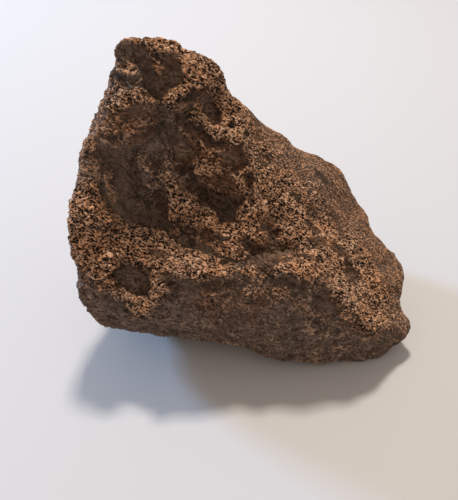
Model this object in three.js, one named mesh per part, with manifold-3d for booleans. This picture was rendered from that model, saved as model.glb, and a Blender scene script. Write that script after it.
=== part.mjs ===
// A lava rock: one solid chunk of vesicular basalt, in millimetres, +Z up.
// It leans back to a blunt crown on its left, and runs down to a low end on its right.
// Its broken front faces -Y. Its origin is on the ground, under the middle of its box.
import * as THREE from "three";
import { ConvexHull } from "three/addons/math/ConvexHull.js";
import { ImprovedNoise } from "three/addons/math/ImprovedNoise.js";
import { mergeVertices } from "three/addons/utils/BufferGeometryUtils.js";
import Module from "manifold-3d";

// Driving dimensions.
const LENGTH = 164; // overall, along X
const DEPTH = 117; // overall, along Y
const HEIGHT = 144; // from the ground to the crown
const FRONT_EDGE = 5.6; // the longest edge of a triangle on the broken front
const BACK_EDGE = 10; // the longest edge of one on the rest of the skin
const ROUNDING = 0.35; // how far a vertex is drawn toward the middle of its neighbours, from 0 to 1

// Uneven relief over the whole skin: how far it goes in and out, and how far apart its lumps are.
const RELIEF = [
  { height: 1.5, spacing: 15 },
  { height: 0.8, spacing: 7 },
];
const NOISE_PEAK = 0.7; // the most that the noise function gives
const SAME_POINT = 1e-3; // points nearer than this are one vertex

// The skin is given by points on it, listed by the lump, ledge, hollow or edge that they shape.
// FRONT and BACK are its two sides, and RIM is the line all the way round where they meet.
const FRONT = {
  crownFront: [
    [-54, 0, 141], [-50, 1, 143], [-44, 2, 144], [-39, 0, 144], [-37, -2, 141], [-33, -2, 139],
    [-28, -3, 139], [-24, -2, 135], [-17, 2, 129],
  ],
  crownHollows: [[-48, 9, 136], [-38, 7, 128], [-33, 8, 126], [-42, 3, 125]],
  crownBelow: [
    [-55, -1, 135], [-50, -3, 134], [-45, -2, 134], [-53, -1, 127], [-36, -4, 126], [-27, -5, 132],
  ],
  shoulderLedge: [
    [-62, -2, 122], [-54, -9, 125], [-45, -9, 127], [-42, -9, 123], [-33, -9, 124], [-27, -7, 127],
    [-20, -4, 129],
  ],
  bulge: [
    [-62, -11, 118], [-52, -13, 118], [-44, -11, 118], [-63, -17, 111], [-58, -19, 109],
    [-52, -17, 110], [-46, -15, 111], [-40, -11, 111],
  ],
  leftHollow: [
    [-63, -7, 99], [-58, -5, 96], [-62, -6, 89], [-58, -7, 82], [-62, -15, 77], [-56, -13, 72],
    [-46, -13, 70], [-57, -28, 73], [-65, -17, 99], [-68, -24, 93],
  ],
  hollowRib: [[-47, -12, 103], [-45, -14, 94], [-44, -14, 82]],
  crease: [[-37, -2, 117], [-37, -2, 106], [-40, -4, 96], [-41, -5, 83], [-40, -7, 72], [-40, -14, 66]],
  creaseRib: [[-35, -7, 98], [-36, -15, 88], [-35, -19, 80], [-34, -23, 75]],
  notches: [[-30, -5, 113], [-26, -2, 118], [-19, 3, 120], [-16, 3, 111], [-31, -1, 94]],
  faceEdge: [
    [-22, -7, 115], [-16, -9, 110], [-11, -11, 107], [-3, -14, 105], [0, -16, 98], [2, -17, 89],
    [1, -20, 84], [-2, -24, 79],
  ],
  panel: [
    [-27, -5, 101], [-24, -10, 92], [-17, -8, 98], [-16, -14, 94], [-10, -15, 89], [-6, -7, 93],
    [-12, -13, 80],
  ],
  panelHollow: [[-25, -7, 78], [-18, -8, 73], [-9, -11, 70], [-19, -15, 73]],
  upperLedge: [
    [-27, -22, 82], [-26, -26, 75], [-17, -26, 76], [-15, -31, 73], [-9, -33, 70], [-6, -35, 66],
    [-21, -28, 67], [-5, -24, 73], [-10, -21, 68], [0, -29, 68],
  ],
  groove: [
    [-35, -20, 66], [-30, -23, 63], [-23, -27, 61], [-17, -31, 61], [-8, -34, 60], [-3, -37, 58],
  ],
  lowerLedge: [
    [-60, -35, 68], [-51, -35, 69], [-43, -35, 66], [-44, -28, 69], [-38, -33, 68], [-30, -37, 66],
    [-23, -37, 65], [-15, -40, 62], [-10, -42, 59], [-43, -41, 63], [-35, -42, 63], [-25, -44, 62],
    [-16, -45, 58], [-4, -43, 55],
  ],
  leftLumps: [
    [-69, -34, 85], [-64, -34, 80], [-71, -38, 79], [-71, -41, 72], [-66, -40, 70], [-62, -46, 66],
    [-73, -41, 63], [-67, -47, 58], [-64, -33, 72],
  ],
  pit: [
    [-58, -39, 59], [-51, -40, 59], [-61, -38, 52], [-57, -35, 48], [-50, -37, 48], [-59, -36, 43],
    [-51, -39, 41], [-46, -44, 41], [-45, -42, 50],
  ],
  pitRim: [
    [-63, -46, 50], [-56, -48, 47], [-51, -50, 44], [-45, -51, 41], [-40, -51, 46], [-39, -48, 53],
    [-36, -51, 51],
  ],
  lowerBand: [
    [-71, -46, 44], [-66, -47, 39], [-56, -49, 41], [-58, -47, 31], [-44, -50, 32], [-33, -52, 40],
    [-32, -50, 53], [-21, -50, 53], [-21, -53, 39], [-10, -50, 53], [-8, -53, 43], [-9, -54, 33],
    [3, -55, 28],
  ],
  middleHollows: [
    [0, -26, 59], [19, -27, 59], [12, -29, 57], [10, -18, 64], [5, -31, 64], [25, -29, 62],
    [30, -27, 63],
  ],
  middleLedge: [[-1, -37, 60], [3, -41, 59], [14, -42, 62], [23, -46, 61], [31, -46, 60], [7, -45, 55]],
  frontFace: [
    [4, -53, 57], [4, -55, 48], [17, -50, 55], [17, -54, 46], [28, -49, 51], [30, -55, 39],
    [41, -52, 34], [18, -56, 29], [45, -53, 18], [33, -45, 53], [37, -48, 43],
  ],
  endEdge: [[37, -47, 52], [45, -50, 46], [50, -52, 40], [58, -52, 28], [49, -51, 23], [70, -46, 21]],
  rightFace: [
    [7, -7, 90], [-7, -3, 112], [26, -5, 78], [13, -14, 78], [4, -23, 77], [25, -17, 69], [45, 0, 63],
    [43, -16, 56], [34, -35, 59], [64, -7, 43], [49, -33, 47], [68, -21, 35], [63, -36, 32],
    [75, -33, 23], [42, 7, 72],
  ],
};

const RIM = {
  crown: [
    [-57, 5, 142], [-53, 7, 144], [-45, 10, 145], [-38, 11, 145], [-31, 11, 142], [-25, 11, 138],
    [-15, 9, 134], [-11, 7, 130],
  ],
  farEdge: [
    [-7, 5, 120], [2, 11, 108], [12, 15, 98], [23, 19, 88], [33, 22, 78], [41, 25, 76], [50, 25, 68],
    [60, 23, 55], [67, 21, 46], [68, 19, 42], [67, 14, 39], [74, 9, 34], [80, 0, 32],
  ],
  endOutline: [
    [85, -8, 28], [82, -15, 25], [80, -23, 20], [82, -32, 18], [85, -37, 16], [84, -38, 11],
    [78, -42, 6], [70, -46, 6], [62, -48, 7],
  ],
  foot: [[51, -49, 0], [58, -49, 1], [61, -47, 2]],
  lowerEdge: [
    [-75, -40, 24], [-69, -40, 17], [-55, -41, 14], [-40, -42, 12], [-22, -44, 13], [-7, -47, 11],
    [5, -49, 9], [15, -51, 6], [32, -53, 6], [45, -51, 4],
  ],
  leftOutline: [
    [-59, 5, 134], [-61, 3, 128], [-65, 1, 120], [-69, -5, 113], [-71, -9, 109], [-73, -11, 106],
    [-74, -15, 102], [-75, -19, 95], [-75, -24, 89], [-78, -27, 86], [-80, -30, 83], [-81, -33, 79],
    [-80, -37, 72], [-79, -40, 60], [-77, -42, 50], [-79, -42, 42], [-79, -41, 29],
  ],
};

const BACK = {
  base: [
    [48, -44, -3], [64, -45, -3], [74, -22, -3], [64, 10, -3], [44, 32, -3], [16, 44, -3],
    [-14, 46, -3], [-38, 36, -3], [-52, 16, -3], [-50, -4, -3], [-24, -16, -3], [4, -26, -3],
    [26, -36, -3], [-25, 15, -3], [10, 10, -3], [38, 0, -3], [15, 28, -3], [45, -22, -3], [0, -8, -3],
  ],
  back: [
    [-52, 15, 124], [-38, 26, 129], [-20, 24, 119], [-66, 6, 100], [-50, 33, 104], [-25, 35, 107],
    [-3, 33, 98], [-40, 44, 92], [-72, 2, 76], [-60, 33, 80], [-32, 44, 74], [-14, 50, 84], [0, 43, 76],
    [26, 39, 74], [14, 47, 64], [-75, -6, 50], [-68, 22, 54], [-50, 46, 58], [-34, 52, 52],
    [-10, 57, 52], [24, 50, 48], [50, 40, 46], [-72, -16, 28], [-70, 14, 28], [-56, 40, 30],
    [-38, 58, 30], [-20, 56, 20], [0, 61, 28], [17, 56, 20], [36, 52, 28], [50, 40, 20], [66, 30, 24],
    [79, 6, 18], [-62, 18, 7], [-45, 42, 6], [-28, 54, 8], [-6, 52, 4], [22, 52, 5], [44, 42, 4],
    [67, 20, 6], [78, -8, 5], [-58, 43, 44], [-70, 18, 78], [-72, 20, 34], [-66, 31, 67], [-51, 41, 80],
    [-64, 16, 104], [2, 54, 54], [-58, 25, 102], [-17, 40, 103],
  ],
  leftSide: [[-79, -24, 64], [-77, -14, 77], [-79, -28, 46], [-75, -12, 96]],
  under: [[-66, -22, 13], [-44, -27, 9], [-66, -6, 10]],
};

// Hollows and grooves pressed into the skin, and ledges and lumps raised on it: how far each goes out
// (below zero, in), how far it reaches to either side of its line, and that line.
const CARVING = {
  crownBrow: { height: 1.5, reach: 4, line: [[-53, 1, 141], [-49, 3, 142], [-42, 2, 143], [-37, 1, 142]] },
  crownHollow: { height: -2.6, reach: 6, line: [[-51, 0, 139], [-42, 5, 137]] },
  crownPatch: { height: 2.4, reach: 6, line: [[-56, -1, 129], [-52, -3, 130], [-46, -3, 129]] },
  crownPocketTop: { height: -2.6, reach: 5, line: [[-33, 0, 136], [-31, -3, 136]] },
  crownPocket: { height: -2.8, reach: 7, line: [[-30, -1, 130], [-37, -3, 126], [-41, -1, 122]] },
  crownMiddle: { height: -1.8, reach: 6, line: [[-42, 1, 130], [-42, 0, 125]] },
  rightShoulder: { height: 3.2, reach: 6, line: [[-36, -4, 120], [-27, -6, 125], [-19, 0, 125]] },
  underRightShoulder: { height: -2.6, reach: 6, line: [[-34, -4, 115], [-25, -3, 117], [-18, 2, 118]] },
  notch: { height: -2.5, reach: 4.5, line: [[-17, -1, 114], [-14, -1, 111]] },
  rightStep: { height: 2.8, reach: 5, line: [
    [-22, -7, 112], [-18, -9, 108], [-12, -10, 105], [-5, -12, 101],
  ] },
  leftShoulder: { height: 3, reach: 7, line: [[-59, -9, 120], [-52, -10, 121], [-43, -8, 121]] },
  bulgeLip: { height: 2.8, reach: 7, line: [
    [-61, -15, 111], [-56, -17, 110], [-48, -14, 110], [-40, -8, 110],
  ] },
  underBulge: { height: -3, reach: 7, line: [
    [-65, -11, 101], [-61, -7, 96], [-49, -11, 101], [-42, -9, 102],
  ] },
  leftHollow: { height: -2.5, reach: 18, line: [[-60, -8, 88], [-58, -12, 77], [-50, -17, 72]] },
  leftHollowCorner: { height: -2, reach: 9, line: [[-45, -13, 70], [-40, -21, 67]] },
  hollowRib: { height: 2.6, reach: 5, line: [[-52, -9, 98], [-47, -12, 90], [-43, -14, 82]] },
  crease: { height: -2.6, reach: 4.5, line: [
    [-37, -3, 118], [-39, -4, 109], [-40, -6, 97], [-40, -12, 85], [-39, -13, 70],
  ] },
  creaseRib: { height: 2.4, reach: 5, line: [[-36, -10, 93], [-36, -14, 82], [-34, -20, 70]] },
  panelSide: { height: -2, reach: 6, line: [[-30, -5, 102], [-29, -10, 92], [-27, -14, 81]] },
  panel: { height: 3.4, reach: 8, line: [[-24, -9, 86], [-16, -13, 88], [-8, -16, 88]] },
  panelHollow: { height: -3, reach: 6, line: [[-25, -15, 80], [-19, -13, 74], [-8, -18, 71]] },
  darkWall: { height: -2.4, reach: 7, line: [[-5, -11, 100], [-4, -16, 89]] },
  darkWallFoot: { height: -2.4, reach: 6, line: [[-6, -14, 75], [-3, -24, 76]] },
  upperLedge: { height: 3.2, reach: 6, line: [
    [-31, -22, 70], [-25, -25, 67], [-19, -28, 64], [-9, -34, 64], [0, -37, 61],
  ] },
  groove: { height: -3.2, reach: 5.5, line: [[-38, -18, 66], [-31, -26, 64], [-23, -29, 62]] },
  grooveEnd: { height: -2.6, reach: 6, line: [[-18, -33, 62], [-9, -38, 60], [-1, -39, 58]] },
  smallLump: { height: 2.4, reach: 5, line: [[-48, -30, 68], [-40, -27, 67]] },
  lowerLedgeCrest: { height: 2.6, reach: 6, line: [[-59, -42, 64], [-52, -38, 61], [-44, -40, 59]] },
  lowerLedge: { height: 4.4, reach: 9, line: [
    [-37, -43, 60], [-28, -47, 58], [-19, -47, 56], [-8, -45, 55], [0, -44, 56],
  ] },
  pit: { height: -4.2, reach: 8, line: [[-59, -37, 52], [-54, -38, 46], [-46, -42, 44]] },
  pitRim: { height: 5, reach: 8, line: [
    [-64, -46, 46], [-57, -48, 42], [-49, -49, 39], [-41, -51, 41], [-36, -51, 49], [-38, -47, 54],
  ] },
  leftLumpUpper: { height: 3.2, reach: 7, line: [[-74, -35, 78], [-70, -35, 77], [-64, -33, 77]] },
  leftGap: { height: -2.4, reach: 5, line: [[-74, -38, 72], [-69, -38, 72], [-63, -38, 69]] },
  leftLumpLower: { height: 2.8, reach: 7, line: [[-72, -42, 59], [-66, -46, 61], [-62, -43, 60]] },
  frontWall: { height: -2, reach: 20, line: [[19, -55, 43], [39, -53, 32]] },
  faceEdge: { height: 2.6, reach: 6, line: [
    [5, -42, 58], [13, -45, 59], [21, -47, 58], [30, -47, 54], [38, -48, 49], [45, -50, 44],
    [51, -51, 36], [60, -49, 23],
  ] },
  middleHollowLeft: { height: -3, reach: 6, line: [[-2, -33, 62], [3, -33, 62]] },
  middleHollowRight: { height: -3, reach: 6, line: [[15, -31, 59], [20, -30, 60]] },
  middleGroove: { height: -2.5, reach: 5, line: [[3, -37, 60], [10, -40, 60], [17, -39, 62]] },
  middleHollowTop: { height: -2.5, reach: 5, line: [[9, -19, 67], [10, -24, 61]] },
  facePit: { height: -2.6, reach: 5.5, line: [[49, -30, 47], [52, -32, 43]] },
  backScoop: { height: -4, reach: 20, line: [[-20, 44, 86], [6, 46, 72]] },
  backLedge: { height: 3.5, reach: 9, line: [
    [-58, 38, 72], [-30, 50, 62], [4, 54, 56], [34, 46, 52],
  ] },
  backGroove: { height: -3, reach: 8, line: [
    [-60, 36, 58], [-32, 53, 48], [0, 59, 42], [30, 50, 38],
  ] },
  backRib: { height: 3, reach: 10, line: [[-28, 28, 122], [-30, 38, 104], [-40, 44, 88]] },
  crownScar: { height: -3, reach: 10, line: [[-44, 20, 130], [-52, 26, 114]] },
  leftScoop: { height: -4, reach: 14, line: [[-76, -4, 62], [-72, 8, 44]] },
  leftRib: { height: 2.5, reach: 8, line: [[-70, 0, 88], [-74, -8, 74]] },
  endScoop: { height: -3, reach: 12, line: [[62, 32, 30], [74, 12, 24]] },
};

// The direction that the front faces, and a point well inside the stone.
const FACING = new THREE.Vector3(0, -0.77, 0.64).normalize();
const CORE = new THREE.Vector3(0, 0, 55);
const SPREAD = 45; // how far the two sides are drawn apart to find which points are neighbours
const DEPTH_KEPT = 0.6; // the share of its depth that a point of the back keeps for that

// Where a point is on a ball round the core, with the side that it belongs to drawn out into its half.
// Only the back keeps some of its depth there: the hollows of the front would fold over.
function placeOnBall(point, side) {
  const fromCore = point.clone().sub(CORE);
  const depth = side < 0 ? DEPTH_KEPT * fromCore.dot(FACING) : 0;
  return fromCore.projectOnPlane(FACING).addScaledVector(FACING, side * SPREAD + depth).normalize();
}

// The large facets of the stone: its points, joined as the convex hull of their places on the ball.
function formFacets() {
  const pointAt = new Map();
  [[FRONT, 1], [RIM, 0], [BACK, -1]].forEach(([lists, side]) => {
    for (const [x, y, z] of Object.values(lists).flat()) {
      const point = new THREE.Vector3(x, y, z);
      pointAt.set(placeOnBall(point, side), point);
    }
  });
  const hull = new ConvexHull().setFromPoints([...pointAt.keys()]);
  const corners = hull.faces.flatMap(({ edge }) => [edge, edge.next, edge.next.next]);
  const points = corners.map((corner) => pointAt.get(corner.head().point));
  return mergeVertices(new THREE.BufferGeometry().setFromPoints(points), SAME_POINT);
}

// The triangles that replace abc, where ab, bc and ca are the new middles of its edges, or undefined.
function splitTriangle([a, b, c], [ab, bc, ca]) {
  if (ab !== undefined && bc !== undefined && ca !== undefined) {
    return [[a, ab, ca], [ab, b, bc], [ca, bc, c], [ab, bc, ca]];
  }
  if (ab === undefined && bc === undefined && ca === undefined) {
    return [[a, b, c]];
  }
  if (ab === undefined) {
    return splitTriangle([b, c, a], [bc, ca, ab]);
  }
  if (bc !== undefined) {
    return [[ab, b, bc], [a, ab, bc], [a, bc, c]];
  }
  if (ca !== undefined) {
    return [[a, ab, ca], [ab, b, c], [ab, c, ca]];
  }
  return [[a, ab, c], [ab, b, c]];
}

// The longest edge that the skin may have round a point.
function longestEdgeAt(point) {
  const onFront = point.clone().sub(CORE).dot(FACING) > 0;
  return onFront ? FRONT_EDGE : BACK_EDGE;
}

// Halves every edge that is too long, until none is.
function splitLongEdges(facets) {
  const position = facets.getAttribute("position");
  const points = Array.from({ length: position.count }, (_, i) => {
    return new THREE.Vector3().fromBufferAttribute(position, i);
  });
  const corners = [...facets.getIndex().array];
  let triangles = [];
  while (corners.length > 0) {
    triangles.push(corners.splice(0, 3));
  }
  let before = 0;
  while (triangles.length !== before) {
    before = triangles.length;
    const middles = new Map();
    const middleOf = (a, b) => {
      const middle = points[a].clone().lerp(points[b], 0.5);
      if (points[a].distanceTo(points[b]) <= longestEdgeAt(middle)) {
        return undefined;
      }
      const key = `${Math.min(a, b)} ${Math.max(a, b)}`;
      if (!middles.has(key)) {
        middles.set(key, points.length);
        points.push(middle);
      }
      return middles.get(key);
    };
    triangles = triangles.flatMap(([a, b, c]) => {
      return splitTriangle([a, b, c], [middleOf(a, b), middleOf(b, c), middleOf(c, a)]);
    });
  }
  return new THREE.BufferGeometry().setFromPoints(points).setIndex(triangles.flat());
}

// For each vertex, the vertices that an edge joins it to.
function neighboursIn(skin) {
  const index = skin.getIndex();
  const around = Array.from({ length: skin.getAttribute("position").count }, () => new Set());
  for (let i = 0; i < index.count; i += 1) {
    const next = i % 3 === 2 ? i - 2 : i + 1;
    around[index.getX(i)].add(index.getX(next));
    around[index.getX(next)].add(index.getX(i));
  }
  return around;
}

// Takes the sharpness off the edges between the large facets.
function roundOff(skin) {
  const position = skin.getAttribute("position");
  const before = position.clone();
  const point = new THREE.Vector3();
  neighboursIn(skin).forEach((near, i) => {
    const middle = new THREE.Vector3();
    near.forEach((other) => middle.add(point.fromBufferAttribute(before, other)));
    middle.divideScalar(near.size);
    point.fromBufferAttribute(before, i).lerp(middle, ROUNDING);
    position.setXYZ(i, point.x, point.y, point.z);
  });
}

// How far the carving pushes out a point of the skin.
function carvingAt(point) {
  const near = new THREE.Vector3();
  return Object.values(CARVING).reduce((push, { height, reach, line }) => {
    const corners = line.map((corner) => new THREE.Vector3(...corner));
    const distances = corners.slice(1).map((end, i) => {
      return new THREE.Line3(corners[i], end).closestPointToPoint(point, true, near).distanceTo(point);
    });
    const share = Math.min(Math.min(...distances) / reach, 1);
    return push + height * (1 - share ** 2) ** 2;
  }, 0);
}

// How far the uneven relief pushes it out.
function reliefAt({ x, y, z }) {
  return RELIEF.reduce((push, { height, spacing }) => {
    return push + (height / NOISE_PEAK) * noise.noise(x / spacing, y / spacing, z / spacing);
  }, 0);
}

// Pushes the skin out and in along its normals.
function shapeSkin(skin) {
  skin.computeVertexNormals();
  const position = skin.getAttribute("position");
  const normal = skin.getAttribute("normal");
  const point = new THREE.Vector3();
  const outward = new THREE.Vector3();
  for (let i = 0; i < position.count; i += 1) {
    point.fromBufferAttribute(position, i);
    outward.fromBufferAttribute(normal, i);
    point.addScaledVector(outward, carvingAt(point) + reliefAt(point));
    position.setXYZ(i, point.x, point.y, point.z);
  }
  skin.deleteAttribute("normal");
}

const noise = new ImprovedNoise();
const wasm = await Module();
wasm.setup();

function toSolid(geometry) {
  const mesh = new wasm.Mesh({
    numProp: 3,
    vertProperties: new Float32Array(geometry.getAttribute("position").array),
    triVerts: new Uint32Array(geometry.getIndex().array),
  });
  return new wasm.Manifold(mesh);
}

function toGeometry(solid) {
  const { vertProperties, triVerts } = solid.getMesh();
  const geometry = new THREE.BufferGeometry();
  geometry.setAttribute("position", new THREE.BufferAttribute(vertProperties, 3));
  return geometry.setIndex(new THREE.BufferAttribute(triVerts, 1));
}

// Cuts the stone off at the ground, which leaves the flat face that it rests on.
function cutAtGround(skin) {
  const ground = new THREE.BoxGeometry(2 * LENGTH, 2 * DEPTH, HEIGHT);
  ground.translate(0, 0, -HEIGHT / 2);
  ground.deleteAttribute("normal");
  ground.deleteAttribute("uv");
  return toGeometry(toSolid(skin).subtract(toSolid(mergeVertices(ground))));
}

// Brings the stone to its overall size, with its origin on the ground under its middle.
function fitToSize(geometry) {
  geometry.computeBoundingBox();
  const { min, max } = geometry.boundingBox;
  geometry.translate(-(min.x + max.x) / 2, -(min.y + max.y) / 2, -min.z);
  geometry.scale(LENGTH / (max.x - min.x), DEPTH / (max.y - min.y), HEIGHT / (max.z - min.z));
}

function lavaRock() {
  const skin = splitLongEdges(formFacets());
  roundOff(skin);
  shapeSkin(skin);
  const geometry = cutAtGround(skin);
  fitToSize(geometry);
  const basalt = new THREE.MeshStandardMaterial({ color: 0x6a4c38, roughness: 0.95, metalness: 0 });
  const mesh = new THREE.Mesh(geometry, basalt);
  mesh.name = "lava_rock";
  return mesh;
}

const rock = new THREE.Group();
rock.add(lavaRock());

export default rock;
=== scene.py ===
import math

import bmesh
import bpy
import numpy as np
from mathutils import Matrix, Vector


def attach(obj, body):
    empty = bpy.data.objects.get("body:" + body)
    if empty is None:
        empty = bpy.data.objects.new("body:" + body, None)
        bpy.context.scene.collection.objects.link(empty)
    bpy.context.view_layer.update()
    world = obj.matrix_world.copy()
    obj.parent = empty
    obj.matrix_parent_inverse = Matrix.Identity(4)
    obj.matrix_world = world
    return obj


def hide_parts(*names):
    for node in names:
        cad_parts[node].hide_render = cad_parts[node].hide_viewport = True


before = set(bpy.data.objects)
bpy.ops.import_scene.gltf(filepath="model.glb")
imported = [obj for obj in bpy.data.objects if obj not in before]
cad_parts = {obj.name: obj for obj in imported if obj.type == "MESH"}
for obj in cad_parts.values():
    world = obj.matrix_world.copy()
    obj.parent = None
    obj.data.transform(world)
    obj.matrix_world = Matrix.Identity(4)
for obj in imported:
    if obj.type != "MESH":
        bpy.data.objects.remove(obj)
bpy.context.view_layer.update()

MM = 0.001  # in Blender's metres

# The camera, and the picture that it takes.
PICTURE_HEIGHT = 500  # pixels; the longer side of the 458 x 500 picture
FOCAL_LENGTH = 600  # pixels
CAMERA_PLACE = Vector((-10.0, -246.9, 235.4)) * MM
CAMERA_TILT = math.radians(39.5)  # below level
SENSOR = 36.0  # millimetres

# The stage and its lights.
FLOOR_REACH = 3.0  # to each side
FLOOR_COLOUR = (0.725, 0.715, 0.715, 1)
LAMP_COLOUR = (1.0, 0.91, 0.82)
WINDOW_COLOUR = (0.36, 0.62, 1.0)
ROOM_COLOUR = (1.0, 0.88, 0.78, 1)
ROOM_STRENGTH = 0.40
STONE_MIDDLE = Vector((0, 0, 0.05))  # what the lights look at

# The skin's mesh.
NET = 2.6  # size of the quads in the net that the CAD solid is first remade with
EASING_PASSES = 2  # that take the CAD facets off it
HALVINGS = 2  # of the net's edges all over, before the relief is pressed in
RICH_SIDE = (0.0, -0.77, 0.64)  # the side with the finest relief, where the edges are halved once more
RICH_LEAST = 0.35  # of that side are the faces that look its way by more than this, the angle's cosine
SKIN_PIECES = 6  # that the skin is parted into, to keep each under 200,000 triangles

# How the CAD solid's own hollows and ledges are brought out. They are measured from the level around
# them, which is the net after many passes of easing.
NORMAL_PASSES = 4
LEVEL_PASSES = 16
LEVEL_RANGE = 4  # from the highest ledge to the deepest hollow that the stored "hollow" tells apart
DEEPENING = 0.35  # how much deeper a shallow hollow gets, as a share of its depth
DEEPENING_HALVED_AT = 5  # the depth at which that share is down to half
RAISING = 0.30  # how much higher a ledge gets, as a share of its height

# The skin is of four kinds. Each is given by points on the stone that it surrounds.
KINDS = {
    "crumbly": [
        (-57, -4, 133), (-54, -12, 125), (-28, -11, 128), (-32, 7, 139), (-48, 5, 143), (-20, -12, 111),
        (-9, -16, 106), (-19, -15, 94), (-34, -22, 80), (-21, -30, 71), (-5, -33, 65), (5, -21, 77),
        (-45, -39, 64), (-27, -45, 64), (-15, -48, 60), (-74, -35, 82), (-70, -44, 66), (-67, -51, 61),
        (-51, -54, 44), (-39, -55, 55), (9, -45, 61), (21, -49, 61), (-35, 2, 131), (-12, -13, 71),
        (7, -26, 60),
    ],
    "wrinkled": [
        (-67, -45, 24), (-47, -52, 31), (-74, -46, 36), (-61, -8, 89), (-59, -13, 74), (-47, -14, 77),
        (-61, -16, 114), (-49, -15, 115), (-30, -54, 37), (-10, -56, 37), (13, -55, 39), (32, -54, 35),
        (41, -53, 20), (-72, -19, 99), (-7, -10, 93), (-50, 5, 137), (-44, 1, 127), (-5, -52, 49),
        (-32, -10, 93), (-23, -32, 67), (-67, -52, 46), (-59, -55, 43), (-52, -50, 31), (-37, -58, 48),
        (-33, -55, 53), (20, -54, 47), (31, -54, 36), (54, -51, 14), (66, -49, 18), (71, -44, 20),
        (5, -52, 53), (47, -52, 9), (-73, -44, 22), (17, -51, 54), (26, -52, 52), (-57, -5, 132),
        (-51, -8, 130),
    ],
    "pitted": [
        (-5, 0, 111), (7, -1, 93), (19, -7, 81), (23, -19, 69), (38, -21, 58), (43, -47, 47),
        (63, -39, 29), (58, -52, 31), (11, -15, 78), (27, -35, 61), (52, -22, 47), (-13, 2, 124),
        (-16, 3, 130), (2, -16, 89), (16, -23, 63), (56, -32, 39), (-60, 20, 100), (-40, 36, 90),
        (67, -38, 26), (51, -45, 39), (-10, 42, 88), (20, 40, 70), (-70, 0, 60), (-50, 42, 50),
        (0, 55, 40), (40, 42, 40), (65, 20, 25),
    ],
    "smooth": [
        (42, 15, 71), (54, 16, 58), (45, -5, 59), (71, -11, 34), (73, -31, 25), (64, -4, 42),
        (74, -42, 18), (58, 10, 50), (31, 15, 78), (-30, 30, 115), (-72, -10, 30), (-20, 50, 66),
        (30, 46, 54), (24, 4, 88), (31, 0, 81), (3, 10, 102), (12, 6, 95), (18, 1, 88), (26, -2, 81),
    ],
}
KIND_BLEND = 2.5  # over how far one kind turns into the next

# How much of each form's own height the relief has on each kind of skin: first the forms to be seen
# from a step away, then the fine ones.
RELIEF = {
    #            lumps ridges crumbs grains curls pores pits
    "crumbly":  (0.40, 0.80, 0.75, 0.60, 1.00, 0.45, 0.40),
    "wrinkled": (0.40, 0.70, 0.40, 0.45, 0.50, 0.20, 0.30),
    "pitted":   (0.30, 0.25, 0.30, 0.55, 0.65, 0.65, 0.35),
    "smooth":   (0.30, 0.15, 0.10, 0.50, 0.25, 0.40, 0.15),
}
COARSE_FORMS = 3  # at the head of each row of RELIEF
FINE_BEHIND = 0.3  # how high the fine forms are away from the rich side, against their height on it
FINE_RANGE = 1.6  # from the lowest to the highest of the fine forms that the stored "rise" tells apart

# How far each kind of skin has tan crumbs, partly painted light, dark pores, partly painted shade, the
# greyer brown and pale threads.
PAINT = {
    #            tan   dark  grey  threads
    "crumbly":  (1.00, 1.00, 0.20, 0.10),
    "wrinkled": (0.52, 0.65, 0.80, 1.00),
    "pitted":   (0.94, 1.00, 0.10, 0.10),
    "smooth":   (0.56, 0.60, 0.50, 0.20),
}
THREAD_HEIGHT = 0.5  # of the pale threads
PATCH_END = 1.25  # how far the patches in the tables below go on, as a multiple of their reach
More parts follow.
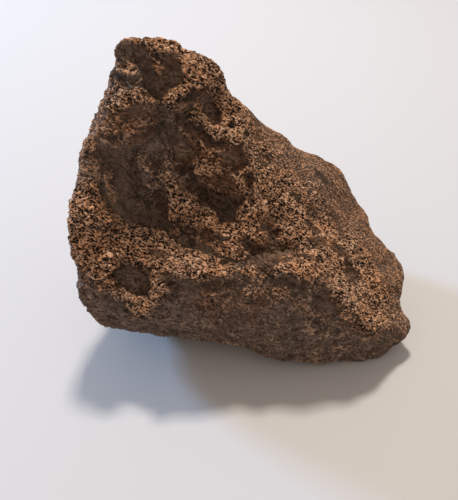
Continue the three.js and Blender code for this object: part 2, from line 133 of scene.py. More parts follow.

# Hollows, pushed in and darkened with painted shade: the depth of each, how far it reaches to either side of
# its line, and that line. One that has no depth here is deep enough in the CAD solid, and only its tan and
# its dark pores fade; the lost tan is painted shade.
HOLLOWS_WITH_PAINTED_SHADE = {
    "crown": [
        (0, 4.5, [(-55, -2, 140), (-50, 4, 139), (-44, 5, 138)]),
        (0, 4, [(-46, -2, 131), (-44, 1, 126), (-42, 1, 121)]),
        (0, 4.5, [(-35, 0, 137), (-35, 4, 128), (-33, -1, 125)]),
        (1, 2.5, [(-60, 0, 132), (-57, -5, 131)]),
        (1.2, 3, [(-27, -11, 123), (-21, -6, 124)]),
        (1, 3, [(-55, -6, 129), (-49, -9, 130), (-45, 1, 123)]),
    ],
    "left": [
        (1.4, 4.5, [(-42, -1, 119), (-40, -4, 108)]),
        (0.3, 2.5, [(-67, -7, 115), (-54, -15, 119), (-44, -13, 120)]),
        (1.9, 3.5, [(-40, -13, 108), (-43, -7, 89)]),
        (1.3, 3.5, [(-43, -7, 89), (-42, -12, 78), (-41, -11, 68)]),
        (0.5, 4, [(-47, -14, 67), (-41, -18, 63)]),
        (0.3, 3.5, [(-62, -36, 51), (-58, -35, 46), (-53, -40, 44)]),
        (1.1, 2.5, [(-64, -21, 110), (-56, -21, 110), (-46, -17, 110), (-41, -12, 112)]),
        (1.2, 4, [(-35, -4, 101), (-33, -5, 95), (-33, -12, 92)]),
        (0.3, 2.5, [(-43, -41, 64), (-38, -44, 64)]),
        (0.6, 2.5, [(-68, -51, 47), (-60, -54, 44)]),
    ],
    "panel": [
        (1.4, 3.5, [(-30, -9, 93), (-27, -13, 83), (-22, -10, 75)]),
        (0.4, 2.5, [(-20, -10, 73), (-14, -13, 70)]),
        (0.4, 2, [(-11, -15, 69), (-7, -18, 70)]),
        (1, 3.5, [(-5, -15, 101), (-6, -15, 92)]),
        (1.5, 2.5, [(0, -18, 89), (0, -19, 86)]),
        (1, 2, [(-6, -16, 73), (0, -22, 82)]),
        (1.1, 3.5, [(-30, -7, 112), (-24, -12, 109), (-18, -13, 104), (-13, -15, 103)]),
        (0.3, 3, [(-16, -19, 87), (-10, -20, 89)]),
    ],
    "ledges": [
        (0.3, 2, [(-39, -17, 63), (-29, -26, 61), (-22, -33, 60), (-13, -38, 60), (-5, -40, 58)]),
        (0.8, 2, [(-21, -31, 69), (-13, -36, 68)]),
        (0.8, 2, [(-13, -22, 68), (-4, -29, 71)]),
        (0.2, 3, [(-4, -31, 62), (1, -34, 60)]),
        (0.9, 3, [(5, -33, 59), (12, -31, 56), (20, -31, 58)]),
        (0.7, 4.5, [(0, -40, 60), (6, -45, 60), (12, -40, 59)]),
    ],
    "front": [
        (1, 3, [(-37, -53, 59), (-32, -54, 55)]),
        (0.8, 3, [(-61, -43, 16), (-49, -45, 12)]),
        (0.5, 4, [(-28, -54, 56), (-21, -54, 56), (-12, -52, 56), (-5, -50, 56)]),
        (0.9, 3, [(15, -51, 56), (22, -52, 54), (29, -52, 48), (36, -51, 40)]),
        (1, 3.5, [(-14, -55, 39), (-11, -56, 37)]),
        (0.3, 4, [(16, -55, 43), (25, -57, 31)]),
    ],
    "face": [
        (1.2, 3, [(34, 5, 76), (38, 3, 73)]),
        (0.8, 2, [(20, -39, 60), (25, -40, 61)]),
        (0.8, 3, [(46, -30, 47), (50, -31, 43)]),
        (0.6, 2, [(8, -3, 90), (12, -3, 88)]),
        (0.6, 2, [(20, -13, 76), (23, -13, 74)]),
        (0.2, 3, [(28, -28, 62), (33, -29, 60)]),
        (0.3, 4, [(41, -26, 55), (45, -26, 51)]),
        (0.3, 3, [(28, -20, 64), (31, -22, 63)]),
    ],
}

# Where the stone is rusty: how strongly, how far around each line, and the line.
RUSTY = {
    "left": [(0.7, 12, [(-62, -16, 113), (-48, -16, 114)])],
    "panel": [(0.9, 14, [(-22, -10, 98), (-10, -14, 90)]), (0.7, 10, [(-30, -23, 78), (-20, -30, 70)])],
    "front": [(0.4, 12, [(-20, -55, 46), (0, -56, 46)]), (0.5, 10, [(-68, -50, 60), (-60, -48, 54)])],
}

# Ledges and patches of tan crumbs, whose tan is partly their own colour and partly painted light: the
# height, the reach and the line of each.
CRUMBS_WITH_PAINTED_LIGHT = {
    "crown": [
        (0.4, 2, [(-55, -4, 134), (-51, -6, 133), (-47, -4, 131)]),
        (0.8, 4, [(-54, -9, 126), (-48, -12, 126), (-45, -12, 125)]),
        (0.8, 3, [(-35, -11, 124), (-28, -11, 128), (-22, -6, 129)]),
        (0.3, 2.5, [(-55, 4, 143), (-48, 7, 144), (-40, 7, 143)]),
        (0.4, 2.5, [(-26, -2, 116), (-23, -2, 115)]),
        (0.8, 2.5, [(-43, -2, 143), (-41, 1, 136), (-39, 1, 132)]),
    ],
    "panel": [
        (0.8, 2.5, [(-23, -10, 114), (-18, -11, 111), (-13, -11, 108)]),
        (0.4, 3, [(-13, -9, 109), (-7, -15, 106)]),
        (1, 3, [(-25, -14, 90), (-19, -15, 93), (-13, -11, 94)]),
        (0.5, 2.5, [(-18, -10, 97), (-14, -12, 100)]),
        (0.5, 2.5, [(-21, -11, 102), (-17, -12, 101)]),
    ],
    "left": [
        (0.8, 3.5, [(-37, -23, 73), (-32, -23, 80), (-27, -15, 77)]),
        (0.4, 4, [(-76, -39, 70), (-74, -46, 63), (-68, -50, 59), (-63, -49, 64)]),
        (0.3, 3.5, [(-74, -33, 84), (-75, -39, 80)]),
        (3, 3.5, [(-65, -45, 51), (-58, -50, 48), (-51, -54, 44), (-47, -54, 44)]),
        (2.6, 3, [(-47, -54, 44), (-43, -55, 50), (-40, -55, 55), (-41, -53, 59)]),
        (1.8, 4, [(-72, -39, 73), (-66, -39, 67)]),
        (0.4, 3, [(-70, -16, 108), (-72, -15, 101)]),
        (0.3, 3.5, [(-66, -16, 88), (-65, -17, 77)]),
        (0.6, 3.5, [(-66, -37, 71), (-60, -37, 68)]),
    ],
    "ledges": [
        (0.8, 3, [(-29, -27, 74), (-21, -29, 72), (-12, -29, 69), (-4, -31, 68)]),
        (0.6, 3, [(-5, -23, 74), (2, -25, 78), (7, -20, 76)]),
        (0.6, 2.5, [(-23, -30, 62), (-16, -35, 62), (-7, -40, 62)]),
        (0.8, 3, [(-45, -38, 65), (-39, -35, 67), (-33, -37, 65)]),
        (0.8, 5.5, [(-33, -43, 64), (-25, -47, 63), (-16, -47, 61), (-12, -48, 59)]),
        (2, 3.5, [(5, -22, 72), (12, -20, 65), (16, -24, 63)]),
        (0.6, 3, [(-25, -28, 61), (-23, -31, 60)]),
        (0.6, 2.5, [(1, -28, 69), (8, -24, 59)]),
        (0.5, 2.5, [(9, -18, 75), (16, -19, 72)]),
        (0.3, 4, [(7, -20, 74), (15, -20, 69)]),
    ],
    "front": [
        (0.8, 2.5, [(-5, -51, 53), (-2, -53, 53)]),
        (0.5, 2.5, [(-21, -54, 56), (-18, -54, 53)]),
        (0.5, 2.5, [(10, -50, 51), (15, -53, 50)]),
    ],
    "face": [
        (0.4, 2.5, [(18, -48, 61), (23, -49, 60)]),
        (0.6, 2.5, [(19, -30, 58), (30, -29, 61)]),
        (0.4, 3, [(43, -54, 40), (46, -54, 36)]),
    ],
}

# Hollows that are shallower than in the CAD solid: how far each is pushed out toward the rich side, its
# reach and its line.
FILLED = {
    "pit": [(10, 10, [(-58, -35, 46), (-53, -40, 45)])],
    "ledges": [(3.5, 6, [(0, -30, 64), (5, -26, 62)])],
}

FLOW = (0.85, -0.15, -0.50)  # the way that the lava's streaks run
CROSSING = (0.70, 0.25, 0.62)  # the way of the threads that cross them

# The colours of the stone.
# DARK is also painted shade: in the pores, where it is partly their own colour, and in the hollows pushed in
# below.
DARK = (0.024, 0.016, 0.012, 1)  # deep in the pores
BROWN = (0.280, 0.154, 0.092, 1)
GREY_BROWN = (0.235, 0.169, 0.133, 1)
RUST = (0.280, 0.118, 0.050, 1)
# The tans are partly the walls' own colour and partly painted light on the raised tops.
ORANGE_TAN = (0.880, 0.450, 0.235, 1)  # on the walls between the pores
PALE_TAN = (0.850, 0.490, 0.295, 1)
# A painted highlight: pale colour that stands in for glints of light on the highest walls.
PAINTED_HIGHLIGHT = (0.970, 0.660, 0.450, 1)  # on the highest of the walls
THREAD = (0.500, 0.320, 0.215, 1)  # on the raised threads
# Painted light: a paler colour that lifts the great hollows out of their shade.
PAINTED_HOLLOW_LIGHT = (0.450, 0.312, 0.228, 1)  # in the great hollows

# How many lumps a metre the material's noises have, and how its streaks lie.
LUMPS = {
    "grey patches": 30.0,
    "pale patches": 38.0,
    "rusty spots": 60.0,
    "mottle": 300.0,
    "highlights": 420.0,
    "strands": 940.0,
    "grain": 1250.0,
}
STREAK_TURN = 0.53  # about +Y, from +X to the way of the streaks; radians
STREAK_LENGTH = 2.2  # times their width
BUMP = 0.6  # the height of the relief that is finer than the mesh


# ---- Noise on arrays of points ----------------------------------------------------------------

def scramble(cell, seed):
    """A random whole number of 32 bits for each lattice cell. The multipliers are the primes of a
    well-known hash."""
    bits = cell[..., 0] * 73856093 ^ cell[..., 1] * 19349663 ^ cell[..., 2] * 83492791 ^ seed * 668265263
    bits &= 0xFFFFFFFF
    bits = (bits ^ (bits >> 15)) * 2246822519 & 0xFFFFFFFF
    bits = (bits ^ (bits >> 13)) * 3266489917 & 0xFFFFFFFF
    return bits ^ (bits >> 16)


def fractions(bits):
    """Three numbers from 0 to 1 out of each random whole number, from ten of its bits each."""
    return np.stack([(bits >> shift & 0x3FF) / 1023.0 for shift in (0, 10, 20)], -1)


def gradient_noise(points, seed):
    """Smooth noise, about -1 to 1, whose lumps are one unit apart."""
    cell = np.floor(points).astype(np.int64)
    part = points - cell
    fade = part ** 3 * (part * (part * 6 - 15) + 10)
    total = np.zeros(len(points))
    for corner in np.ndindex(2, 2, 2):
        slope = fractions(scramble(cell + corner, seed)) * 2 - 1
        weight = np.where(np.array(corner) == 1, fade, 1 - fade).prod(1)
        total += weight * ((part - corner) * slope).sum(1)
    return 1.6 * total  # which brings it to about -1 to 1


def nearest_seeds(points, seed):
    """For each point, how far the nearest and the second nearest of seeds one unit apart are, and the
    nearest one's own random number from 0 to 1."""
    cell = np.floor(points).astype(np.int64)
    first = np.full(len(points), np.inf)
    second = first.copy()
    own = np.zeros(len(points))
    for step in np.ndindex(3, 3, 3):
        near = cell + step - 1
        bits = scramble(near, seed)
        away = np.linalg.norm(near + fractions(bits) - points, axis=1)
        own = np.where(away < first, (bits >> 7 & 0xFFFF) / 65535.0, own)
        second = np.minimum(second, np.maximum(first, away))
        first = np.minimum(first, away)
    return first, second, own


def warped(points, reach, spacing, seed):
    """The points, each moved by up to about reach, so that what is laid on them loses its even rows."""
    moves = [gradient_noise(points / spacing, seed + axis) for axis in range(3)]
    return points + reach * np.stack(moves, -1)


def drawn_out(points, way, times):
    """The points, moved so that what is laid on them comes out that many times longer along the way."""
    way = np.array(way) / np.linalg.norm(way)
    along = (points @ way)[:, None] * way
    return points - along + along / times


def step_up(values, low, high):
    """Smoothly from 0 at low to 1 at high. Low may be the greater of the two."""
    share = np.clip((values - low) / (high - low), 0, 1)
    return share * share * (3 - 2 * share)


# ---- Mesh tools -------------------------------------------------------------------------------

def read(items, name, width, kind=np.float64):
    """One property of a mesh's vertices, edges or corners, as an array with a row for each."""
    values = np.empty(len(items) * width, kind)
    items.foreach_get(name, values)
    return values.reshape(-1, width)


def store(mesh, name, values):
    """Keeps one number for each vertex on the mesh, under the name that the material reads it by."""
    layer = mesh.attributes.new(name, "FLOAT", "POINT")
    layer.data.foreach_set("value", values.astype(np.float32))


def apply_modifiers(piece):
    """Makes what the piece's modifiers show into its mesh."""
    shown = piece.evaluated_get(bpy.context.evaluated_depsgraph_get())
    made = bpy.data.meshes.new_from_object(shown)
    piece.modifiers.clear()
    old = piece.data
    piece.data = made
    bpy.data.meshes.remove(old)


def neighbour_mean(values, ends, count):
    """The mean of each vertex's neighbours, for an array of values with one row for each vertex."""
    one, other = ends[:, 0], ends[:, 1]
    neighbours = np.bincount(one, minlength=count) + np.bincount(other, minlength=count)
    totals = []
    for column in values.reshape(count, -1).T:
        totals.append(np.bincount(one, column[other], count) + np.bincount(other, column[one], count))
    return (np.array(totals) / neighbours).T.reshape(values.shape)


def eased(values, ends, passes):
    """Values blurred over the mesh."""
    for _ in range(passes):
        values = (values + neighbour_mean(values, ends, len(values))) / 2
    return values


# ---- The net over the CAD solid ---------------------------------------------------------------

def fine_net(cad_object):
    """An even net of small quads over the CAD solid, with its facets eased away."""
    net = bpy.data.objects.new("net", cad_object.data.copy())
    bpy.context.scene.collection.objects.link(net)
    remesh = net.modifiers.new("quads", "REMESH")
    remesh.mode = "VOXEL"
    remesh.voxel_size = NET * MM
    apply_modifiers(net)
    mesh = net.data
    places = eased(read(mesh.vertices, "co", 3), read(mesh.edges, "vertices", 2, np.int32), EASING_PASSES)
    mesh.vertices.foreach_set("co", places.ravel())
    sharpen(mesh)
    halve = net.modifiers.new("finer", "SUBSURF")
    halve.levels = HALVINGS
    apply_modifiers(net)
    halve_rich_side(net.data)
    return net


def sharpen(mesh):
    """Presses the hollows deeper and raises the ledges, and stores how far each vertex lay below (over
    0.5) or above (under 0.5) the level around it."""
    places, normals = read(mesh.vertices, "co", 3), read(mesh.vertices, "normal", 3)
    ends = read(mesh.edges, "vertices", 2, np.int32)
    normals = eased(normals, ends, NORMAL_PASSES)
    depth = ((eased(places, ends, LEVEL_PASSES) - places) * normals).sum(1)
    store(mesh, "hollow", np.clip(0.5 + depth / (LEVEL_RANGE * MM), 0, 1))
    deeper = DEEPENING * depth / (1 + depth / (DEEPENING_HALVED_AT * MM))
    places -= normals * np.where(depth > 0, deeper, RAISING * depth)[:, None]
    mesh.vertices.foreach_set("co", places.ravel())


def halve_rich_side(mesh):
    """Halves the edges of the faces on the rich side once more."""
    shape = bmesh.new()
    shape.from_mesh(mesh)
    way = Vector(RICH_SIDE)
    rich = {edge for face in shape.faces if face.normal.dot(way) > RICH_LEAST for edge in face.edges}
    bmesh.ops.subdivide_edges(shape, edges=list(rich), cuts=1, use_grid_fill=True)
    shape.to_mesh(mesh)
    shape.free()


# ---- Where each skin, hollow and ledge is -----------------------------------------------------

def kind_shares(points):
    """How much each vertex is of each kind of skin. The shares of a vertex add up to 1."""
    nearest = []
    for places in KINDS.values():
        away = np.full(len(points), np.inf)
        for place in places:
            away = np.minimum(away, np.linalg.norm(points - place, axis=1))
        nearest.append(away)
    weight = np.exp(-(np.array(nearest) - np.min(nearest, 0)) / KIND_BLEND)
    return dict(zip(KINDS, weight / weight.sum(0)))


def mixed(table, shares):
    """Each column of a table of the kinds, mixed at every vertex by its shares of them."""
    rows = [table[kind] for kind in KINDS]
    return [sum(shares[kind] * value for kind, value in zip(KINDS, column)) for column in zip(*rows)]


def to_line(points, line):
    """How far each point is from a line through the given corners."""
    corners = np.array(line, float)
    nearest = np.full(len(points), np.inf)
    for start, end in zip(corners[:-1], corners[1:]):
        along = end - start
        share = np.clip((points - start) @ along / (along @ along), 0, 1)
        nearest = np.minimum(nearest, np.linalg.norm(points - start - share[:, None] * along, axis=1))
    return nearest


def patches(points, table):
    """The height of the table's patches at each vertex, and how far the vertex lies within them."""
    total, share = np.zeros(len(points)), np.zeros(len(points))
    for group in table.values():
        for height, reach, line in group:
            within = 1 - np.clip(to_line(points, line) / (PATCH_END * reach), 0, 1) ** 2
            total += height * within ** 2
            share = np.maximum(share, step_up(within, 0.15, 0.65))
    return total, share


# ---- Relief -----------------------------------------------------------------------------------

def creased(points, spacing, seed):
    """Rounded lumps with sharp creases between them, from -0.5 in the creases to about 0.5."""
    return 2 * np.abs(gradient_noise(points / spacing, seed)) - 0.5


def threads(points, way, across, length, width, seed):
    """Thin raised threads, drawn out along the way."""
    drawn = drawn_out(points, way, length / across) / across
    return 1 - np.clip(np.abs(gradient_noise(drawn, seed)) / width, 0, 1)


def walled_pores(points, spacing, depth, seed):
    """Pores side by side with thin walls left between them, each pore of a depth of its own."""
    first, second, own = nearest_seeds(points / spacing, seed)
    floor = step_up(second - first, 0.04, 0.40)  # 0 on the walls
    return depth * (0.5 - floor * (0.75 + 0.6 * own))


def bubbles(points, spacing, depth, share, seed):
    """Round pits of many sizes, in that share of the cells, that cut into each other."""
    nearest, _, own = nearest_seeds(points / spacing, seed)
    other = own * 97 % 1  # a second random number, out of the later digits of the first
    radius = 0.40 + 0.35 * other  # as a share of the spacing
    bowl = np.sqrt(np.clip(1 - (nearest / radius) ** 2, 0, 1))
    return -depth * np.where(own < share, radius * bowl, 0)


def relief(points, shares):
    """How far the coarse and the fine relief stand out at each vertex."""
    bent = warped(points, reach=3.0, spacing=12.0, seed=51)
    loose = warped(points, reach=0.6, spacing=2.0, seed=41)
    lumps = 1.6 * gradient_noise(bent / 9.0, seed=3)
    ridges = 1.6 * threads(bent, FLOW, across=4.2, length=11.0, width=0.6, seed=23) - 0.6
    crumbs = 0.8 * creased(loose, spacing=3.0, seed=5) - 0.3
    grains = 0.40 * gradient_noise(points / 0.85, seed=7)
    flowing = threads(loose, FLOW, across=1.3, length=4.5, width=0.32, seed=61)
    crossing = threads(loose, CROSSING, across=1.4, length=5.0, width=0.32, seed=62)
    curls = 0.95 * np.maximum(flowing, crossing) - 0.5
    pores = walled_pores(drawn_out(loose, CROSSING, 1.8), spacing=1.10, depth=0.65, seed=13)
    pits = bubbles(loose, spacing=4.0, depth=1.8, share=0.35, seed=11)
    forms = (lumps, ridges, crumbs, grains, curls, pores, pits)
    heights = [form * amount for form, amount in zip(forms, mixed(RELIEF, shares))]
    return sum(heights[:COARSE_FORMS]), sum(heights[COARSE_FORMS:])


def pale_threads(points, share):
    """How far the pale threads stand out at each vertex. They follow the flow, come in patches about 7 mm
    apart, and stand out only by the vertex's own share."""
    patchy = step_up(gradient_noise(points / 7, seed=83), -0.3, 0.3)
    curly = warped(points, reach=2.0, spacing=4.0, seed=57)
    return share * patchy * threads(curly, FLOW, across=2.6, length=6.0, width=0.15, seed=71)


def moved_raggedly(points):
    """The points, moved so that the borders of what is laid on them come out ragged, not straight."""
    wavy = warped(points, reach=2.2, spacing=6.5, seed=71)
    return warped(wavy, reach=1.3, spacing=2.4, seed=74)


def press_relief(net):
    """Presses the relief into the net, and stores on it what the material needs."""
    mesh = net.data
    places, normals = read(mesh.vertices, "co", 3), read(mesh.vertices, "normal", 3)
    points = places / MM
    ragged = moved_raggedly(points)
    shares = kind_shares(ragged)
    tan, dark, grey, thread_share = mixed(PAINT, shares)
    hollow_depth, in_painted_shade_hollow = patches(ragged, HOLLOWS_WITH_PAINTED_SHADE)
    crumb_height, in_crumbs_and_painted_light = patches(ragged, CRUMBS_WITH_PAINTED_LIGHT)

    coarse, fine = relief(points, shares)
    thread = pale_threads(points, thread_share)
    rich = step_up(normals @ np.array(RICH_SIDE), -0.1, 0.5)
    fine_height = (FINE_BEHIND + (1 - FINE_BEHIND) * rich) * fine
    height = coarse + fine_height + THREAD_HEIGHT * thread + crumb_height - hollow_depth
    places += np.array(RICH_SIDE) * (patches(points, FILLED)[0] * MM)[:, None]
    places += normals * (height * MM)[:, None]
    places[:, 2] = np.maximum(places[:, 2], 0)  # nothing reaches below the floor
    mesh.vertices.foreach_set("co", places.ravel())
    mesh.update()

    # Tan fades out in the CAD solid's own hollows as painted shade, and to under a third on faces that don't
    # look upward, which leaves the faces lit from above lighter as painted light. It is full on the patches
    # of crumbs, partly as painted light, and nearly gone from the hollows pushed in here, as painted shade.
    # The dark pores are fainter in all hollows.
    hollow = read(mesh.attributes["hollow"].data, "value", 1, np.float32).ravel()
    tan *= step_up(hollow, 0.72, 0.48) * (0.3 + 0.7 * step_up(normals[:, 2], 0.0, 0.5))
    values = {
        "tan": np.maximum(tan, in_crumbs_and_painted_light) * (1 - 0.85 * in_painted_shade_hollow),
        "dark": dark * (1 - 0.35 * np.maximum(in_painted_shade_hollow, step_up(hollow, 0.60, 0.80))),
        "grey": grey,
        "thread": thread,
        "shade": np.clip(hollow_depth, 0, 1),
        "rust": patches(ragged, RUSTY)[0],
        "rise": np.clip(0.5 + fine / FINE_RANGE, 0, 1),
    }
    for name, value in values.items():
        store(mesh, name, value)


# ---- Parting the skin -------------------------------------------------------------------------

def cut_out(mesh, faces, name):
    """A piece made of some of the mesh's faces, with the whole mesh's normals and stored values."""
    places, normals = read(mesh.vertices, "co", 3), read(mesh.vertices, "normal", 3)
    corners = read(mesh.loops, "vertex_index", 1, np.int32).ravel()
    first = read(mesh.polygons, "loop_start", 1, np.int32).ravel()[faces]
    sides = read(mesh.polygons, "loop_total", 1, np.int32).ravel()[faces]
    starts = np.concatenate(([0], np.cumsum(sides)))
    shift = np.repeat(first - starts[:-1], sides)
    used, new_corners = np.unique(corners[np.arange(starts[-1]) + shift], return_inverse=True)

    part = bpy.data.meshes.new(name)
    part.vertices.add(len(used))
    part.vertices.foreach_set("co", places[used].ravel())
    part.loops.add(len(new_corners))
    part.loops.foreach_set("vertex_index", new_corners)
    part.polygons.add(len(faces))
    part.polygons.foreach_set("loop_start", starts[:-1])
    part.update(calc_edges=True)
    part.normals_split_custom_set_from_vertices(normals[used])
    for layer in mesh.attributes:
        if layer.domain == "POINT" and layer.data_type == "FLOAT":
            store(part, layer.name, read(layer.data, "value", 1, np.float32).ravel()[used])
    piece = bpy.data.objects.new(name, part)
    bpy.context.scene.collection.objects.link(piece)
    return piece


def part_skin(net):
    """The net as several pieces, which meet along upright cuts without a seam in the shading."""
    middles = read(net.data.polygons, "center", 3)
    round_the_stone = np.argsort(np.arctan2(middles[:, 1], middles[:, 0]))
    pieces = []
    for number, faces in enumerate(np.array_split(round_the_stone, SKIN_PIECES), 1):
        pieces.append(cut_out(net.data, faces, f"lava_rock_skin_{number}"))
    bpy.data.objects.remove(net)
    return pieces


# ---- Material ---------------------------------------------------------------------------------

class Nodes:
    """Short calls for the nodes of one material."""

    def __init__(self, material):
        self.tree = material.node_tree

    def add(self, kind, inputs=None, **settings):
        """A new node. An input is either a value of its own or another node's output."""
        node = self.tree.nodes.new(kind)
        for name, value in settings.items():
            setattr(node, name, value)
        for name, value in (inputs or {}).items():
            if isinstance(value, bpy.types.NodeSocket):
                self.tree.links.new(value, node.inputs[name])
            else:
                node.inputs[name].default_value = value
        return node

    def attribute(self, name):
        """A value that is stored on the mesh."""
        return self.add("ShaderNodeAttribute", attribute_name=name).outputs["Fac"]

    def noise(self, place, lumps, detail=3.0, roughness=0.55, distortion=0.0):
        """Noise from 0 to 1, of one of the sizes in LUMPS."""
        inputs = {
            "Vector": place,
            "Scale": LUMPS[lumps],
            "Detail": detail,
            "Roughness": roughness,
            "Distortion": distortion,
        }
        return self.add("ShaderNodeTexNoise", inputs).outputs["Fac"]

    def math(self, operation, first, second=0.0, third=0.0):
        """The result of one operation on up to three values."""
        return self.add("ShaderNodeMath", {0: first, 1: second, 2: third}, operation=operation).outputs[0]

    def spread(self, value, low, high, to_low=0.0, to_high=1.0):
        """The value, with low to high spread over to_low to to_high, and cut off there."""
        inputs = {"Value": value, "From Min": low, "From Max": high, "To Min": to_low, "To Max": to_high}
        return self.add("ShaderNodeMapRange", inputs).outputs["Result"]

    def blend(self, share, under, over):
        """From the colour under to the colour over, as the share goes from 0 to 1."""
        return self.add("ShaderNodeMix", {0: share, 6: under, 7: over}, data_type="RGBA").outputs[2]


def fine_strands(nodes, place, streaky):
    """Strands and grain too fine for the mesh, as a height from about 0 to 1."""
    grain = nodes.math("MULTIPLY", nodes.noise(place, "grain", roughness=0.75), 0.6)
    noise = nodes.noise(streaky, "strands", detail=1.0, roughness=0.4, distortion=0.4)
    away = nodes.math("ABSOLUTE", nodes.math("SUBTRACT", noise, 0.5))
    return nodes.math("ADD", nodes.spread(away, 0.0, 0.14, 0.5, 0.0), grain)


def body_colour(nodes, place, streaky, hollow, shade):
    """Brown, greyer and rustier in patches, paler in the CAD solid's deep hollows as painted light, with a
    dark mottle over it."""
    uneven = nodes.spread(nodes.noise(place, "grey patches", detail=4.0), 0.40, 0.62, -0.2, 0.2)
    grey = nodes.math("ADD", nodes.attribute("grey"), uneven)
    spots = nodes.noise(place, "rusty spots", detail=5.0, roughness=0.6)
    spots = nodes.spread(spots, 0.54, 0.70, 0.0, 0.4)
    rusty = nodes.math("MULTIPLY_ADD", nodes.attribute("rust"), 0.8, spots)
    # Painted light in the CAD solid's deep hollows, weaker where the hollows pushed in carry painted shade.
    painted_light_share = nodes.math("MULTIPLY", nodes.spread(hollow, 0.62, 0.88), nodes.spread(shade, 0.0, 1.0, 0.8, 0.1))
    mottle = nodes.noise(streaky, "mottle", detail=5.0, roughness=0.65, distortion=0.6)
    colour = nodes.blend(grey, BROWN, GREY_BROWN)
    colour = nodes.blend(rusty, colour, RUST)
    colour = nodes.blend(painted_light_share, colour, PAINTED_HOLLOW_LIGHT)
    return nodes.blend(nodes.spread(mottle, 0.46, 0.64, 0.0, 0.5), colour, DARK)


def tan_colour(nodes, place, streaky, height):
    """Orange and pale tan in patches, with painted highlights on the highest walls."""
    pale = nodes.spread(nodes.noise(place, "pale patches"), 0.42, 0.60)
    # Painted highlights, in streaky patches on the highest walls.
    lit = nodes.spread(nodes.noise(streaky, "highlights", detail=2.0), 0.46, 0.60)
    lit = nodes.math("MULTIPLY", lit, nodes.spread(height, 0.60, 0.95))
    return nodes.blend(lit, nodes.blend(pale, ORANGE_TAN, PALE_TAN), PAINTED_HIGHLIGHT)


def basalt():
    """Porous brown stone. Values stored on the mesh say where it is tan, dark, grey, rusty, hollow or
    threaded, and how high the fine relief stands."""
    material = bpy.data.materials.new("basalt")
    material.use_nodes = True
    nodes = Nodes(material)
    shader = material.node_tree.nodes["Principled BSDF"]
    place = nodes.add("ShaderNodeTexCoord").outputs["Object"]
    turn = {"Vector": place, "Rotation": (0.0, STREAK_TURN, 0.0), "Scale": (STREAK_LENGTH, 1.0, 1.0)}
    streaky = nodes.add("ShaderNodeMapping", turn, vector_type="TEXTURE").outputs["Vector"]
    hollow = nodes.attribute("hollow")
    shade = nodes.attribute("shade")
    tan = nodes.attribute("tan")
    dark = nodes.attribute("dark")

    # The relief's height, to which the strands add what they stand over or under their mean of 0.55. The
    # less tan the skin is, the higher it has to stand to be tan.
    fine = fine_strands(nodes, place, streaky)
    strands = nodes.math("SUBTRACT", fine, 0.55)
    high = nodes.math("MULTIPLY_ADD", strands, nodes.math("MULTIPLY", dark, 1.8), nodes.attribute("rise"))
    tan_height = nodes.math("MULTIPLY_ADD", nodes.math("SUBTRACT", tan, 1.0), 0.36, high)

    # The tops are tan, partly the walls' own colour and partly painted light, and the gaps between them
    # dark, partly the pores' own colour and partly painted shade. The hollows pushed in are darker too, with
    # painted shade, apart from the ones in deep hollows of the CAD solid's own.
    tops = nodes.math("MULTIPLY", nodes.spread(tan_height, 0.46, 0.61), nodes.spread(tan, 0.0, 0.6))
    gaps = nodes.math("MULTIPLY", nodes.spread(high, 0.48, 0.30), dark)
    painted_hollow_shade = nodes.math("MULTIPLY", shade, nodes.spread(hollow, 0.75, 0.60, 0.0, 0.5))
    threaded = nodes.spread(nodes.attribute("thread"), 0.2, 0.8)
    colour = body_colour(nodes, place, streaky, hollow, shade)
    colour = nodes.blend(tops, colour, tan_colour(nodes, place, streaky, tan_height))
    colour = nodes.blend(gaps, colour, DARK)
    colour = nodes.blend(painted_hollow_shade, colour, DARK)
    colour = nodes.blend(threaded, colour, THREAD)
    material.node_tree.links.new(colour, shader.inputs["Base Color"])

    shader.inputs["Roughness"].default_value = 0.92
    shader.inputs["Specular IOR Level"].default_value = 0.25
    bump = nodes.add("ShaderNodeBump", {"Height": fine, "Distance": BUMP * MM, "Strength": 1.0})
    material.node_tree.links.new(bump.outputs["Normal"], shader.inputs["Normal"])
    return material


# ---- Stage ------------------------------------------------------------------------------------

def add_camera():
    """A camera in front of the stone, which looks down at it."""
    camera = bpy.data.objects.new("camera", bpy.data.cameras.new("camera"))
    bpy.context.scene.collection.objects.link(camera)
    camera.location = CAMERA_PLACE
    camera.rotation_euler = (math.pi / 2 - CAMERA_TILT, 0, 0)
    camera.data.sensor_width = SENSOR
    camera.data.lens = SENSOR * FOCAL_LENGTH / PICTURE_HEIGHT
    camera.data.clip_start = 10 * MM
    bpy.context.scene.camera = camera


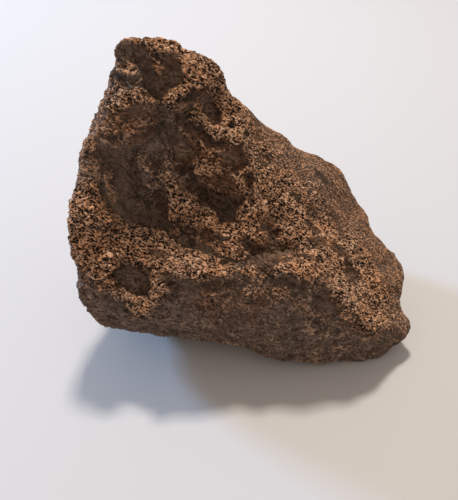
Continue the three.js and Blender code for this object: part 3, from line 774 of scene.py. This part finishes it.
def add_floor():
    """A wide pale floor."""
    mesh = bpy.data.meshes.new("floor")
    side = FLOOR_REACH
    corners = [(-side, -side, 0), (side, -side, 0), (side, side, 0), (-side, side, 0)]
    mesh.from_pydata(corners, [], [(0, 1, 2, 3)])
    floor = bpy.data.objects.new("floor", mesh)
    bpy.context.scene.collection.objects.link(floor)
    paper = bpy.data.materials.new("pale_floor")
    paper.use_nodes = True
    shader = paper.node_tree.nodes["Principled BSDF"]
    shader.inputs["Base Color"].default_value = FLOOR_COLOUR
    shader.inputs["Roughness"].default_value = 0.7
    mesh.materials.append(paper)


def add_light(name, bearing, height, distance, size, power, colour):
    """A square soft light that looks at the middle of the stone. The bearing is counted from straight
    behind the stone toward +X and the height above the floor, both in degrees. Distance and size are in
    metres."""
    lamp = bpy.data.lights.new(name, "AREA")
    lamp.size = size
    lamp.energy = power
    lamp.color = colour
    light = bpy.data.objects.new(name, lamp)
    bpy.context.scene.collection.objects.link(light)
    turn, rise = math.radians(bearing), math.radians(height)
    level = math.cos(rise)
    way = Vector((math.sin(turn) * level, math.cos(turn) * level, math.sin(rise)))
    light.location = STONE_MIDDLE + distance * way
    light.rotation_euler = (-way).to_track_quat("-Z", "Y").to_euler()


def add_lights():
    """A warm lamp from above and behind, a cool window low on the left, and the room's own glow."""
    add_light("lamp", bearing=-2, height=66, distance=1.6, size=0.20, power=16.4, colour=LAMP_COLOUR)
    add_light("window", bearing=-60, height=18, distance=2.0, size=0.30, power=34.0, colour=WINDOW_COLOUR)
    room = bpy.data.worlds.new("room")
    room.use_nodes = True
    background = room.node_tree.nodes["Background"]
    background.inputs["Color"].default_value = ROOM_COLOUR
    background.inputs["Strength"].default_value = ROOM_STRENGTH
    bpy.context.scene.world = room
    bpy.context.scene.view_settings.view_transform = "Standard"


# ---- The scene --------------------------------------------------------------------------------

add_camera()
add_floor()
add_lights()

rock = fine_net(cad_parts["lava_rock"])
press_relief(rock)
stone = basalt()
for piece in part_skin(rock):
    piece.data.materials.append(stone)
    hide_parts("lava_rock")
    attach(piece, "root")
